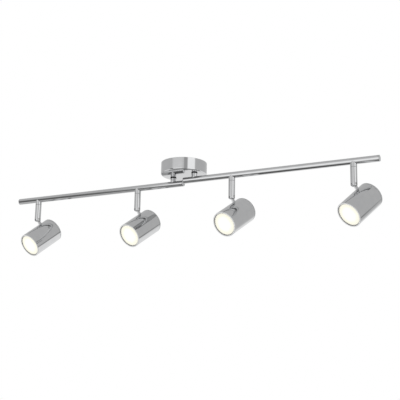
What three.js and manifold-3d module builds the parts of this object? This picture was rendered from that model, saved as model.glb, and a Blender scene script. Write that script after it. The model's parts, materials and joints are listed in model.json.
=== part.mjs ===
// A ceiling spotlight: a round cup on the ceiling carries two straight bars side by side,
// and each bar carries two vertical arms with a cylindrical lamp head on each.
// Millimetres, +Z up. The origin is on the ceiling face, at the centre of the cup.
// Each bar turns about its stem, each arm turns below its bar, and each head tilts on its arm.

import * as THREE from "three";
import { mergeVertices } from "three/addons/utils/BufferGeometryUtils.js";
import Module from "manifold-3d";

const wasm = await Module();
wasm.setup();

// ---------------------------------------------------------------- driving dimensions

const GAP = 0.3; // clearance between pieces that touch, and of a turning fit
const OVERRUN = 1; // how far a cut runs past what it cuts

// ceiling cup
const CUP_RADIUS = 50;
const CUP_HEIGHT = 27;
const CUP_WALL = 1.5;
const CUP_EDGE = 3; // radius of the rounded lower edge

// mounting strap inside the cup
const STRAP_WIDTH = 22;
const STRAP_THICKNESS = 2;
const STRAP_EAR_DEPTH = 12;
const STRAP_TURN = 26; // degrees from the bars to the strap
const SLOT_OFFSET = 27; // from the centre to each ceiling screw slot
const SLOT_LENGTH = 12;
const SLOT_WIDTH = 5;
const SIDE_SCREW_RADIUS = 1.5;
const SIDE_SCREW_LENGTH = 6;
const SIDE_SCREW_DEPTH = 7; // from the ceiling down to the screw's axis
const SOCKET_RADIUS = 0.9; // hexagon socket in the side screw
const SOCKET_DEPTH = 1.5;
const EARTH_SCREW_RADIUS = 2;
const EARTH_HEAD_RADIUS = 3.8;
const EARTH_HEAD_HEIGHT = 2.6;
const EARTH_HEAD_CHAMFER = 1;
const EARTH_SLOT_WIDTH = 1.1;
const EARTH_SLOT_DEPTH = 1;

// terminal block under the strap
const TERMINAL_LENGTH = 32;
const TERMINAL_WIDTH = 15;
const TERMINAL_HEIGHT = 10.5;
const TERMINAL_PITCH = 10;
const TERMINAL_WAYS = 3;
const TERMINAL_BORE_RADIUS = 1.8;
const TERMINAL_BORE_DEPTH = 4.7; // from the block's top down to the wire bores
const TERMINAL_WELL_RADIUS = 1.6;
const TERMINAL_WELL_OFFSET = 4; // from the middle of the block to each row of wells

// bars
const BAR_RADIUS = 6.75;
const BAR_WALL = 1.2;
const BAR_SPACING = 5.3; // clear width between the two bars, across them
const BAR_INNER_END = 4.7;
const BAR_OUTER_END = 441;
const END_CAP_HEAD = 1.6;
const END_CAP_SPIGOT = 7;
const END_CAP_EDGE = 1;

// stems between the cup and the bars
const STEM_INSET = 19.5; // from the cup's side in to each stem, along the bar
const STEM_RADIUS = 6.3;
const STEM_HEIGHT = 8.25; // from the cup's underside to the bar's skin
const STEM_WASHER_LIP = 0.4;
const STEM_WASHER_THICKNESS = 1;

// hollow bolts that the bars and the arms turn on
const BOLT_WALL = 1.6;
const BOLT_FLANGE_LIP = 1.1;
const BOLT_FLANGE_SEAT = 1.25; // from the bar's axis up to the top of the flange inside it
const BOLT_FLANGE_HEIGHT = 1.8;
const BOLT_END = 2; // how far a bolt stands past what it holds
const NUT_WALL = 2.5;
const NUT_HEIGHT = 5;

// arms
const INNER_ARM = 119.5; // from the middle to the inner arms
const OUTER_ARM_INSET = 54.3; // from the bar's outer end back to the outer arm
const ARM_RADIUS = 7;
const ARM_WALL = 1.4;
const ARM_COLLAR_HEIGHT = 6; // what shows of the collar below the bar
const ARM_DROP = 52.6; // from the bar's axis down to the arm's lower end
const ARM_SHOULDER = 2.5;
const ARM_FOOT = 17; // solid lower end of the arm
const ARM_EDGE = 3.6; // rounding of the lower end
const ARM_WIRE_BORE = 2.4;

// tilt hinge
const HINGE_RISE = 5; // from the arm's lower end up to the hinge
const LUG_EYE_INSET = 1.8; // from the arm's skin in to the lug's round eye
const LUG_WIDTH = 7; // of the tongue between the arm and the head
const LUG_REACH = 12.5; // from the hinge to the head's skin
const LUG_THICKNESS = 3.5;
const LUG_FOOT_LENGTH = 18;
const LUG_FOOT_WIDTH = 16;
const LUG_FOOT_THICKNESS = 1.5;
const HINGE_SCREW_RADIUS = 1.6;
const HINGE_HEAD_RADIUS = 2.4;
const HINGE_HEAD_HEIGHT = 1.4;

// heads
const HEAD_WALL = 1.2;
const HEAD_LAMP_SPACE = 1.6; // from the lamp to the head's inside
const HEAD_LENGTH = 78.7;
const HINGE_TO_REAR = 24.3; // from the hinge back to the rear face, along the head
const HEAD_RIM = 0.5; // rounding of the front rim
const HEAD_LIP = 1.2; // depth of the front lip, which closes in round the lamp
const REAR_CAP_SIDE = 4; // what shows of the rear cap along the side
const REAR_CAP_SPIGOT = 5;
const REAR_CAP_EDGE = 2;

// lamp and lampholder
const LAMP_RECESS = 1.5; // from the front rim back to the lens
const LAMP_RADIUS = 25;
const LAMP_LENGTH = 50; // from the lens face to the back of the lamp's base
const LAMP_RIM = 1.4;
const LAMP_BARREL = 12; // length of the straight front part
const LAMP_NECK_RADIUS = 15;
const LAMP_NECK = 34; // from the lens face back to the neck
const LAMP_BASE_RADIUS = 12;
const LAMP_BASE_STEP = 2; // length of the cone between the neck and the base
const LENS_THICKNESS = 2.4;
const LENS_EDGE = 0.6;
const PIN_RADIUS = 2.2;
const PIN_OFFSET = 5; // from the lamp's axis to each contact pin
const PIN_LENGTH = 6;
const HOLDER_RADIUS = 14;

const outerArm = BAR_OUTER_END - OUTER_ARM_INSET;

// directions in which the four heads stand, in degrees: pan from +X, tilt below the horizontal
const HEADS = [
  { name: "1", side: "left", arm: outerArm, pan: -111.3, tilt: 38.3 },
  { name: "2", side: "left", arm: INNER_ARM, pan: -108.9, tilt: 35.5 },
  { name: "3", side: "right", arm: INNER_ARM, pan: -107.3, tilt: 34 },
  { name: "4", side: "right", arm: outerArm, pan: -121.5, tilt: 40.6 },
];

// facets round each kind of turned piece
const CUP_SIDES = 40;
const HEAD_SIDES = 28;
const TUBE_SIDES = 20;
const SMALL_SIDES = 12;
const BORE_SIDES = 8;
const HEX_SIDES = 6;
const EDGE_STEPS = 2;
const BEND_STEPS = 6;

// ---------------------------------------------------------------- materials

function finish(color, roughness, metalness) {
  return new THREE.MeshStandardMaterial({ color, roughness, metalness });
}

const chrome = () => finish("#c9cbce", 0.08, 1);
const zinc = () => finish("#a8a9a6", 0.4, 1);
const brass = () => finish("#c2a15a", 0.35, 1);
const blackNylon = () => finish("#1c1c1d", 0.6, 0);
const whitePlastic = () => finish("#e9e7e0", 0.5, 0);
const ceramic = () => finish("#efece4", 0.55, 0);
const frostedLens = () => finish("#fff3d6", 0.35, 0);

// ---------------------------------------------------------------- shape tools

// A closed geometry as a solid that can be joined and cut.
function solid(geometry) {
  const bare = geometry.clone();
  bare.deleteAttribute("normal");
  bare.deleteAttribute("uv");
  const merged = mergeVertices(bare, 1e-4);
  return new wasm.Manifold(
    new wasm.Mesh({
      numProp: 3,
      vertProperties: merged.attributes.position.array,
      triVerts: new Uint32Array(merged.index.array),
    }),
  );
}

// A solid back as a geometry with flat faces.
function geometryOf(shape) {
  const { vertProperties, triVerts } = shape.getMesh();
  const indexed = new THREE.BufferGeometry();
  indexed.setAttribute("position", new THREE.BufferAttribute(vertProperties, 3));
  indexed.setIndex(new THREE.BufferAttribute(triVerts, 1));
  const flat = indexed.toNonIndexed();
  flat.computeVertexNormals();
  return flat;
}

// The first solid with all the others cut out of it.
function cut(body, ...tools) {
  return tools.reduce((left, tool) => left.subtract(tool), body);
}

// Points of a round corner from one angle to another, in degrees, in an outline.
function corner(x, y, radius, from, to) {
  const points = [];
  for (let step = 0; step <= EDGE_STEPS; step += 1) {
    const angle = THREE.MathUtils.degToRad(from + ((to - from) * step) / EDGE_STEPS);
    points.push([x + radius * Math.cos(angle), y + radius * Math.sin(angle)]);
  }
  return points;
}

// A solid turned about Z from [radius, height] points, up the outside and down the inside.
function turned(outline, sides) {
  const points = outline.map(([radius, height]) => new THREE.Vector2(radius, height));
  const geometry = new THREE.LatheGeometry(points, sides);
  geometry.rotateX(Math.PI / 2);
  return solid(geometry);
}

// A turned solid with a hole all along its axis: the outline closes on itself.
function turnedRing(outline, sides) {
  return turned([...outline, outline[0]], sides);
}

// A round rod about Z between two heights.
function rod(radius, low, high, sides) {
  const geometry = new THREE.CylinderGeometry(radius, radius, high - low, sides);
  geometry.rotateX(Math.PI / 2);
  geometry.translate(0, 0, (low + high) / 2);
  return solid(geometry);
}

// A block from its lowest to its highest corner.
function block(low, high) {
  const size = high.map((value, axis) => value - low[axis]);
  const geometry = new THREE.BoxGeometry(...size);
  geometry.translate(...low.map((value, axis) => value + size[axis] / 2));
  return solid(geometry);
}

// An outline in X and Z, given a thickness along Y and centred on it.
function plate(shape, thickness) {
  const geometry = new THREE.ExtrudeGeometry(shape, {
    depth: thickness,
    bevelEnabled: false,
    curveSegments: BEND_STEPS,
  });
  geometry.translate(0, 0, -thickness / 2);
  geometry.rotateX(Math.PI / 2);
  return solid(geometry);
}

const alongX = (shape) => shape.rotate([0, 90, 0]);
const alongY = (shape) => shape.rotate([-90, 0, 0]);

// A named mesh with a material of its own.
function piece(name, shape, material) {
  const mesh = new THREE.Mesh(geometryOf(shape), material);
  mesh.name = name;
  return mesh;
}

// ---------------------------------------------------------------- bars, arms and the bolts they share

const barDepth = CUP_HEIGHT + STEM_HEIGHT + BAR_RADIUS;
const stemOffset = CUP_RADIUS - STEM_INSET;
const barOffset = BAR_RADIUS + BAR_SPACING / 2;
const barInside = BAR_RADIUS - BAR_WALL;
const armInside = ARM_RADIUS - ARM_WALL;

// A flange seats on the round inside of a bar or under the shoulder of an arm. The bolts are
// alike, so the slimmer of the two sets their thickness.
const barFlange = Math.sqrt((barInside - GAP) ** 2 - BOLT_FLANGE_SEAT ** 2);
const flangeRadius = Math.min(barFlange, armInside - GAP);
const boltRadius = flangeRadius - BOLT_FLANGE_LIP;
const boltBore = boltRadius - BOLT_WALL;
const boltHole = boltRadius + GAP;

// ---------------------------------------------------------------- ceiling cup and what it holds

const cupInside = CUP_RADIUS - CUP_WALL;
const cupFloor = CUP_WALL - CUP_HEIGHT;
const earFace = Math.sqrt((cupInside - GAP) ** 2 - (STRAP_WIDTH / 2) ** 2);
const earthScrewSide = (SLOT_WIDTH + STRAP_WIDTH) / 4; // middle of the land beside the slot

// The cup, open towards the ceiling, with a hole for each stem bolt and each side screw.
function ceilingCup() {
  const insideEdge = Math.max(CUP_EDGE - CUP_WALL, GAP);
  const shell = turned(
    [
      [0, -CUP_HEIGHT],
      ...corner(CUP_RADIUS - CUP_EDGE, CUP_EDGE - CUP_HEIGHT, CUP_EDGE, -90, 0),
      [CUP_RADIUS, 0],
      [cupInside, 0],
      ...corner(cupInside - insideEdge, cupFloor + insideEdge, insideEdge, 0, -90),
      [0, cupFloor],
    ],
    CUP_SIDES,
  );
  const stemHole = rod(boltHole, -CUP_HEIGHT - OVERRUN, cupFloor + OVERRUN, SMALL_SIDES);
  const screwEnd = CUP_RADIUS + OVERRUN;
  const screwHole = alongX(rod(SIDE_SCREW_RADIUS + GAP, -screwEnd, screwEnd, SMALL_SIDES));
  return cut(
    shell,
    stemHole.translate([stemOffset, -barOffset, 0]),
    stemHole.translate([-stemOffset, barOffset, 0]),
    screwHole.translate([0, 0, -SIDE_SCREW_DEPTH]).rotate([0, 0, STRAP_TURN]),
  );
}

// The strap with its ends bent down, slots for the ceiling screws and a hole in each ear.
function mountingStrap() {
  const outline = new THREE.Shape();
  outline.moveTo(-earFace, -STRAP_EAR_DEPTH);
  outline.lineTo(STRAP_THICKNESS - earFace, -STRAP_EAR_DEPTH);
  outline.lineTo(STRAP_THICKNESS - earFace, -STRAP_THICKNESS);
  outline.lineTo(earFace - STRAP_THICKNESS, -STRAP_THICKNESS);
  outline.lineTo(earFace - STRAP_THICKNESS, -STRAP_EAR_DEPTH);
  outline.lineTo(earFace, -STRAP_EAR_DEPTH);
  outline.lineTo(earFace, -STRAP_THICKNESS);
  outline.absarc(earFace - STRAP_THICKNESS, -STRAP_THICKNESS, STRAP_THICKNESS, 0, Math.PI / 2, false);
  outline.lineTo(STRAP_THICKNESS - earFace, 0);
  outline.absarc(STRAP_THICKNESS - earFace, -STRAP_THICKNESS, STRAP_THICKNESS, Math.PI / 2, Math.PI, false);
  outline.lineTo(-earFace, -STRAP_EAR_DEPTH);
  const low = -STRAP_THICKNESS - OVERRUN;
  const slotHalf = SLOT_WIDTH / 2;
  const straight = SLOT_LENGTH / 2 - slotHalf;
  const slotEnd = rod(slotHalf, low, OVERRUN, SMALL_SIDES);
  const slot = block([-straight, -slotHalf, low], [straight, slotHalf, OVERRUN])
    .add(slotEnd.translate([-straight, 0, 0]))
    .add(slotEnd.translate([straight, 0, 0]));
  const screwHole = alongX(rod(SIDE_SCREW_RADIUS + GAP, -CUP_RADIUS, CUP_RADIUS, SMALL_SIDES));
  const earthHole = rod(EARTH_SCREW_RADIUS + GAP, low, OVERRUN, SMALL_SIDES);
  return cut(
    plate(outline, STRAP_WIDTH),
    slot.translate([SLOT_OFFSET, 0, 0]),
    slot.translate([-SLOT_OFFSET, 0, 0]),
    screwHole.translate([0, 0, -SIDE_SCREW_DEPTH]),
    earthHole.translate([SLOT_OFFSET, earthScrewSide, 0]),
  );
}

// A headless screw along X, flush with the cup's wall, with its socket towards +X.
function sideScrew() {
  const outerEnd = CUP_RADIUS - GAP;
  const shank = rod(SIDE_SCREW_RADIUS, outerEnd - SIDE_SCREW_LENGTH, outerEnd, SMALL_SIDES);
  const socket = rod(SOCKET_RADIUS, outerEnd - SOCKET_DEPTH, outerEnd + OVERRUN, HEX_SIDES);
  return alongX(cut(shank, socket)).translate([0, 0, -SIDE_SCREW_DEPTH]);
}

// The earth screw, upwards into the strap, with a slotted head below it.
function earthScrew() {
  const headTop = -STRAP_THICKNESS - GAP;
  const headLow = headTop - EARTH_HEAD_HEIGHT;
  const shape = turned(
    [
      [0, headLow],
      [EARTH_HEAD_RADIUS - EARTH_HEAD_CHAMFER, headLow],
      [EARTH_HEAD_RADIUS, headLow + EARTH_HEAD_CHAMFER],
      [EARTH_HEAD_RADIUS, headTop],
      [EARTH_SCREW_RADIUS, headTop],
      [EARTH_SCREW_RADIUS, -GAP],
      [0, -GAP],
    ],
    SMALL_SIDES,
  );
  const slotEnd = EARTH_HEAD_RADIUS + OVERRUN;
  const slotHalf = EARTH_SLOT_WIDTH / 2;
  const slot = block(
    [-slotEnd, -slotHalf, headLow - OVERRUN],
    [slotEnd, slotHalf, headLow + EARTH_SLOT_DEPTH],
  );
  return cut(shape, slot).translate([SLOT_OFFSET, earthScrewSide, 0]);
}

// The terminal block: a wire bore through each way, and a screw well above each end of it.
function terminalBlock() {
  const top = -STRAP_THICKNESS - GAP;
  const low = top - TERMINAL_HEIGHT;
  const boreHeight = top - TERMINAL_BORE_DEPTH;
  const bore = alongY(rod(TERMINAL_BORE_RADIUS, -TERMINAL_WIDTH, TERMINAL_WIDTH, BORE_SIDES));
  const well = rod(TERMINAL_WELL_RADIUS, low - OVERRUN, boreHeight, BORE_SIDES);
  let shape = block(
    [-TERMINAL_LENGTH / 2, -TERMINAL_WIDTH / 2, low],
    [TERMINAL_LENGTH / 2, TERMINAL_WIDTH / 2, top],
  );
  for (let way = 0; way < TERMINAL_WAYS; way += 1) {
    const x = (way - (TERMINAL_WAYS - 1) / 2) * TERMINAL_PITCH;
    shape = cut(
      shape,
      bore.translate([x, 0, boreHeight]),
      well.translate([x, TERMINAL_WELL_OFFSET, 0]),
      well.translate([x, -TERMINAL_WELL_OFFSET, 0]),
    );
  }
  return shape;
}

// ---------------------------------------------------------------- bars and stems

const stemTop = BAR_RADIUS + STEM_HEIGHT - STEM_WASHER_THICKNESS - 2 * GAP;

// The bar's outer skin with clearance, which shapes the saddle of what is seated on it.
const barSaddle = alongX(rod(BAR_RADIUS + GAP, -BAR_OUTER_END, BAR_OUTER_END, TUBE_SIDES));

// The bar along +X, with a hole on top for the stem bolt and one below for each arm's bolt.
function barTube() {
  const low = BAR_INNER_END + END_CAP_HEAD + GAP;
  const high = BAR_OUTER_END - END_CAP_HEAD - GAP;
  const tube = turnedRing(
    [
      [barInside, low],
      [BAR_RADIUS, low],
      [BAR_RADIUS, high],
      [barInside, high],
    ],
    TUBE_SIDES,
  );
  const upHole = rod(boltHole, 0, BAR_RADIUS + OVERRUN, SMALL_SIDES);
  const downHole = rod(boltHole, -BAR_RADIUS - OVERRUN, 0, SMALL_SIDES);
  return cut(
    alongX(tube),
    upHole.translate([stemOffset, 0, 0]),
    downHole.translate([INNER_ARM, 0, 0]),
    downHole.translate([outerArm, 0, 0]),
  );
}

// An end cap with its outer face at zero, facing +X, and its spigot inside the bar.
function barEndCap() {
  return alongX(
    turned(
      [
        [0, -END_CAP_HEAD - END_CAP_SPIGOT],
        [barInside - GAP, -END_CAP_HEAD - END_CAP_SPIGOT],
        [barInside - GAP, -END_CAP_HEAD],
        [BAR_RADIUS, -END_CAP_HEAD],
        ...corner(BAR_RADIUS - END_CAP_EDGE, -END_CAP_EDGE, END_CAP_EDGE, 0, 90),
        [0, 0],
      ],
      TUBE_SIDES,
    ),
  );
}

// A collar seated on the bar's skin, from the bar's axis to the given height on one side.
function saddleCollar(radius, height) {
  const ring = turnedRing(
    [
      [boltHole, 0],
      [radius, 0],
      [radius, height],
      [boltHole, height],
    ],
    TUBE_SIDES,
  );
  return cut(ring, barSaddle);
}

// A hollow bolt along Z: its flange begins at the first height, and it ends at the second.
function hollowBolt(flangeLow, end) {
  return turnedRing(
    [
      [boltBore, flangeLow],
      [flangeRadius, flangeLow],
      [flangeRadius, flangeLow + BOLT_FLANGE_HEIGHT],
      [boltRadius, flangeLow + BOLT_FLANGE_HEIGHT],
      [boltRadius, end],
      [boltBore, end],
    ],
    SMALL_SIDES,
  );
}

function stemBolt() {
  const nutTop = barDepth + cupFloor + GAP + NUT_HEIGHT;
  return hollowBolt(BOLT_FLANGE_SEAT - BOLT_FLANGE_HEIGHT, nutTop + BOLT_END);
}

function lockNut() {
  const low = barDepth + cupFloor + GAP;
  const cornerRadius = (2 * (boltRadius + NUT_WALL)) / Math.sqrt(3);
  const hole = rod(boltHole, low - OVERRUN, low + NUT_HEIGHT + OVERRUN, SMALL_SIDES);
  return cut(rod(cornerRadius, low, low + NUT_HEIGHT, HEX_SIDES), hole);
}

function stemWasher() {
  const low = -CUP_HEIGHT - GAP - STEM_WASHER_THICKNESS;
  const radius = STEM_RADIUS + STEM_WASHER_LIP;
  return turnedRing(
    [
      [boltHole, low],
      [radius, low],
      [radius, low + STEM_WASHER_THICKNESS],
      [boltHole, low + STEM_WASHER_THICKNESS],
    ],
    TUBE_SIDES,
  );
}

// ---------------------------------------------------------------- arms

const armTop = -BAR_RADIUS - ARM_COLLAR_HEIGHT - GAP;
const hingeHeight = HINGE_RISE - ARM_DROP;
const hingeHole = HINGE_SCREW_RADIUS + GAP;
const lugEye = ARM_RADIUS - LUG_EYE_INSET;
const footEdge = Math.min(ARM_EDGE, ARM_RADIUS - ARM_WIRE_BORE - GAP);
const headSeat = ARM_RADIUS - HINGE_HEAD_HEIGHT;

// The bolt that holds the arm: its flange is under the arm's shoulder and it ends in the bar.
function armBolt() {
  const flangeTop = armTop - ARM_SHOULDER - GAP;
  return hollowBolt(flangeTop - BOLT_FLANGE_HEIGHT, BOLT_END - barInside);
}

// The space for the lug about the hinge: round for its eye and open below. Behind, it is open as
// high as the tongue swings when the head points straight down.
function lugPocket() {
  const half = LUG_THICKNESS / 2 + GAP;
  const reach = ARM_RADIUS + OVERRUN;
  const low = -HINGE_RISE - OVERRUN;
  return alongY(rod(lugEye + 2 * GAP, -half, half, TUBE_SIDES))
    .add(block([-reach, -half, low], [reach, half, 0]))
    .add(block([-reach, -half, low], [0, half, LUG_WIDTH / 2 + GAP]));
}

// The arm: a tube with a shoulder at the top and a slotted, drilled foot at its lower end.
function armTube() {
  const footTop = ARM_FOOT - ARM_DROP;
  const tube = turnedRing(
    [
      [ARM_WIRE_BORE, -ARM_DROP],
      ...corner(ARM_RADIUS - footEdge, footEdge - ARM_DROP, footEdge, -90, 0),
      [ARM_RADIUS, armTop],
      [boltHole, armTop],
      [boltHole, armTop - ARM_SHOULDER],
      [armInside, armTop - ARM_SHOULDER],
      [armInside, footTop],
      [ARM_WIRE_BORE, footTop],
    ],
    TUBE_SIDES,
  );
  const cutEnd = ARM_RADIUS + OVERRUN;
  const drill = alongY(rod(hingeHole, -cutEnd, cutEnd, SMALL_SIDES));
  const spotFace = alongY(rod(HINGE_HEAD_RADIUS + GAP, headSeat - GAP, cutEnd, SMALL_SIDES));
  return cut(
    tube,
    lugPocket().translate([0, 0, hingeHeight]),
    drill.translate([0, 0, hingeHeight]),
    spotFace.translate([0, 0, hingeHeight]),
  );
}

// ---------------------------------------------------------------- heads, about their hinge

const headInside = LAMP_RADIUS + HEAD_LAMP_SPACE;
const headRadius = headInside + HEAD_WALL;
const headDrop = headRadius + LUG_REACH; // from the hinge down to the head's axis
const headRear = -HINGE_TO_REAR;
const headFront = headRear + HEAD_LENGTH;
const rearSeam = headRear + REAR_CAP_SIDE;
const lensFace = headFront - LAMP_RECESS;
const lampBack = lensFace - LAMP_LENGTH;
const lugSlot = block(
  [-LUG_WIDTH / 2 - GAP, -LUG_THICKNESS / 2 - GAP, 0],
  [LUG_WIDTH / 2 + GAP, LUG_THICKNESS / 2 + GAP, headRadius + OVERRUN],
);

// The can, open at both ends, with a lip round the lamp and a slot for the hinge lug.
function headCan() {
  const tube = turnedRing(
    [
      [headInside, rearSeam + GAP],
      [headRadius, rearSeam + GAP],
      [headRadius, headFront - HEAD_RIM],
      [headRadius - HEAD_RIM, headFront],
      [LAMP_RADIUS + GAP, headFront],
      [LAMP_RADIUS + GAP, headFront - HEAD_LIP],
      [headInside, headFront - HEAD_LIP],
    ],
    HEAD_SIDES,
  );
  return cut(alongX(tube), lugSlot);
}

// The cap that closes the can's rear, with a spigot inside the can.
function headRearCap() {
  const spigotOut = headInside - GAP;
  const spigotIn = spigotOut - HEAD_WALL;
  const spigotEnd = rearSeam + REAR_CAP_SPIGOT;
  return alongX(
    turned(
      [
        [0, headRear],
        ...corner(headRadius - REAR_CAP_EDGE, headRear + REAR_CAP_EDGE, REAR_CAP_EDGE, -90, 0),
        [headRadius, rearSeam],
        [spigotOut, rearSeam],
        [spigotOut, spigotEnd],
        [spigotIn, spigotEnd],
        [spigotIn, headRear + HEAD_WALL],
        [0, headRear + HEAD_WALL],
      ],
      HEAD_SIDES,
    ),
  );
}

// The lug: a round eye in the arm's slot, and a flat tongue from it through the can's slot to a
// curved foot inside the can.
function hingeLug() {
  const footOut = headInside - GAP;
  const footIn = footOut - LUG_FOOT_THICKNESS;
  const root = footIn + LUG_FOOT_THICKNESS / 2;
  const meeting = Math.acos(LUG_WIDTH / 2 / lugEye); // where the tongue's sides meet the eye
  const tongue = new THREE.Shape();
  tongue.moveTo(LUG_WIDTH / 2, root);
  tongue.lineTo(LUG_WIDTH / 2, headDrop - lugEye * Math.sin(meeting));
  tongue.absarc(0, headDrop, lugEye, -meeting, Math.PI + meeting, false);
  tongue.lineTo(-LUG_WIDTH / 2, root);
  const ring = turnedRing(
    [
      [footIn, -LUG_FOOT_LENGTH / 2],
      [footOut, -LUG_FOOT_LENGTH / 2],
      [footOut, LUG_FOOT_LENGTH / 2],
      [footIn, LUG_FOOT_LENGTH / 2],
    ],
    HEAD_SIDES,
  );
  const footSpace = block(
    [-LUG_FOOT_LENGTH, -LUG_FOOT_WIDTH / 2, 0],
    [LUG_FOOT_LENGTH, LUG_FOOT_WIDTH / 2, headRadius],
  );
  const foot = alongX(ring).intersect(footSpace);
  const drill = alongY(rod(hingeHole, -LUG_THICKNESS, LUG_THICKNESS, SMALL_SIDES));
  return cut(foot.add(plate(tongue, LUG_THICKNESS)), drill.translate([0, 0, headDrop]));
}

// The hinge screw along Y, its head in the spot face on the arm's +Y side.
function hingeScrew() {
  const farEnd = -Math.sqrt(ARM_RADIUS ** 2 - hingeHole ** 2) + GAP;
  const shape = turned(
    [
      [0, farEnd],
      [HINGE_SCREW_RADIUS, farEnd],
      [HINGE_SCREW_RADIUS, headSeat],
      [HINGE_HEAD_RADIUS, headSeat],
      [HINGE_HEAD_RADIUS, ARM_RADIUS - GAP],
      [0, ARM_RADIUS - GAP],
    ],
    SMALL_SIDES,
  );
  const socket = rod(SOCKET_RADIUS, headSeat, ARM_RADIUS + OVERRUN, HEX_SIDES);
  return alongY(cut(shape, socket));
}

// The lamp without its lens: a reflector body open at the front, a base and two contact pins.
function lampBody() {
  const inside = LAMP_RADIUS - LAMP_RIM;
  const body = turned(
    [
      [0, lampBack],
      [LAMP_BASE_RADIUS, lampBack],
      [LAMP_BASE_RADIUS, lensFace - LAMP_NECK - LAMP_BASE_STEP],
      [LAMP_NECK_RADIUS, lensFace - LAMP_NECK],
      [LAMP_RADIUS, lensFace - LAMP_BARREL],
      [LAMP_RADIUS, lensFace],
      [inside, lensFace],
      [inside, lensFace - LAMP_BARREL],
      [0, lensFace - LAMP_BARREL],
    ],
    TUBE_SIDES,
  );
  const pin = rod(PIN_RADIUS, lampBack - PIN_LENGTH, lampBack + OVERRUN, BORE_SIDES);
  const pins = pin.translate([0, PIN_OFFSET, 0]).add(pin.translate([0, -PIN_OFFSET, 0]));
  return alongX(body.add(pins));
}

// The frosted front of the lamp.
function lampLens() {
  const radius = LAMP_RADIUS - LAMP_RIM - GAP;
  return alongX(
    turned(
      [
        [0, lensFace - LENS_THICKNESS],
        [radius, lensFace - LENS_THICKNESS],
        [radius, lensFace - LENS_EDGE],
        [radius - LENS_EDGE, lensFace],
        [0, lensFace],
      ],
      TUBE_SIDES,
    ),
  );
}

// The lampholder on the rear cap, with a socket for each contact pin.
function lampHolder() {
  const back = headRear + HEAD_WALL + GAP;
  const front = lampBack - GAP;
  const socketEnd = front - PIN_LENGTH - GAP;
  const socket = rod(PIN_RADIUS + GAP, socketEnd, front + OVERRUN, BORE_SIDES);
  return alongX(
    cut(
      rod(HOLDER_RADIUS, back, front, SMALL_SIDES),
      socket.translate([0, PIN_OFFSET, 0]),
      socket.translate([0, -PIN_OFFSET, 0]),
    ),
  );
}

// ---------------------------------------------------------------- assembly

const spotlight = new THREE.Group();

const strapGroup = new THREE.Group();
strapGroup.rotation.z = THREE.MathUtils.degToRad(STRAP_TURN);
strapGroup.add(
  piece("mounting_strap", mountingStrap(), zinc()),
  piece("canopy_screw_right", sideScrew(), zinc()),
  piece("canopy_screw_left", sideScrew().rotate([0, 0, 180]), zinc()),
  piece("earth_screw", earthScrew(), brass()),
  piece("terminal_block", terminalBlock(), whitePlastic()),
);
spotlight.add(piece("canopy_cup", ceilingCup(), chrome()), strapGroup);

// A head about its hinge: +X is where it shines and the hinge screw lies along Y.
function headPieces(name) {
  const group = new THREE.Group();
  const can = new THREE.Group();
  can.position.z = -headDrop;
  can.add(
    piece("head_can_" + name, headCan(), chrome()),
    piece("head_rear_cap_" + name, headRearCap(), chrome()),
    piece("hinge_lug_" + name, hingeLug(), chrome()),
    piece("lamp_body_" + name, lampBody(), whitePlastic()),
    piece("lamp_lens_" + name, lampLens(), frostedLens()),
    piece("lamp_holder_" + name, lampHolder(), ceramic()),
  );
  group.add(can);
  return group;
}

// An arm about the bar's axis above it, turned to its pan and carrying its tilted head.
function armPieces(head, pan) {
  const group = new THREE.Group();
  group.rotation.z = THREE.MathUtils.degToRad(pan);
  const tilting = headPieces(head.name);
  tilting.position.z = hingeHeight;
  tilting.rotation.y = THREE.MathUtils.degToRad(head.tilt);
  group.add(
    piece("arm_" + head.name, armTube(), chrome()),
    piece("hinge_screw_" + head.name, hingeScrew().translate([0, 0, hingeHeight]), zinc()),
    tilting,
  );
  return group;
}

// Each bar is built along +X; the left one is the same assembly turned half a turn.
for (const side of ["left", "right"]) {
  const turn = side === "left" ? 180 : 0;
  const half = new THREE.Group();
  half.rotation.z = THREE.MathUtils.degToRad(turn);
  const bar = new THREE.Group();
  bar.position.set(0, -barOffset, -barDepth);
  const innerCap = barEndCap().rotate([0, 0, 180]);
  const stemCollar = saddleCollar(STEM_RADIUS, stemTop);
  bar.add(
    piece("bar_tube_" + side, barTube(), chrome()),
    piece("bar_outer_cap_" + side, barEndCap().translate([BAR_OUTER_END, 0, 0]), chrome()),
    piece("bar_inner_cap_" + side, innerCap.translate([BAR_INNER_END, 0, 0]), chrome()),
    piece("stem_collar_" + side, stemCollar.translate([stemOffset, 0, 0]), chrome()),
    piece("stem_bolt_" + side, stemBolt().translate([stemOffset, 0, 0]), zinc()),
    piece("stem_nut_" + side, lockNut().translate([stemOffset, 0, 0]), zinc()),
  );
  for (const head of HEADS.filter((each) => each.side === side)) {
    const collar = saddleCollar(ARM_RADIUS, BAR_RADIUS + ARM_COLLAR_HEIGHT).rotate([180, 0, 0]);
    const arm = armPieces(head, head.pan - turn);
    arm.position.x = head.arm;
    bar.add(
      piece("arm_collar_" + head.name, collar.translate([head.arm, 0, 0]), chrome()),
      piece("arm_bolt_" + head.name, armBolt().translate([head.arm, 0, 0]), zinc()),
      arm,
    );
  }
  const washer = piece("stem_washer_" + side, stemWasher(), blackNylon());
  washer.position.set(stemOffset, -barOffset, 0);
  half.add(bar, washer);
  spotlight.add(half);
}

export default spotlight;
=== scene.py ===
"""The looks of a chrome ceiling spotlight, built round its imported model.

A round cup on the ceiling carries two bars side by side. Each bar carries two arms, and each
arm carries a cylindrical head with a lit lamp. Outlines are in millimetres, objects in metres.
"""

import json
import math

import bmesh
import bpy
from mathutils import Matrix, Vector

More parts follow.
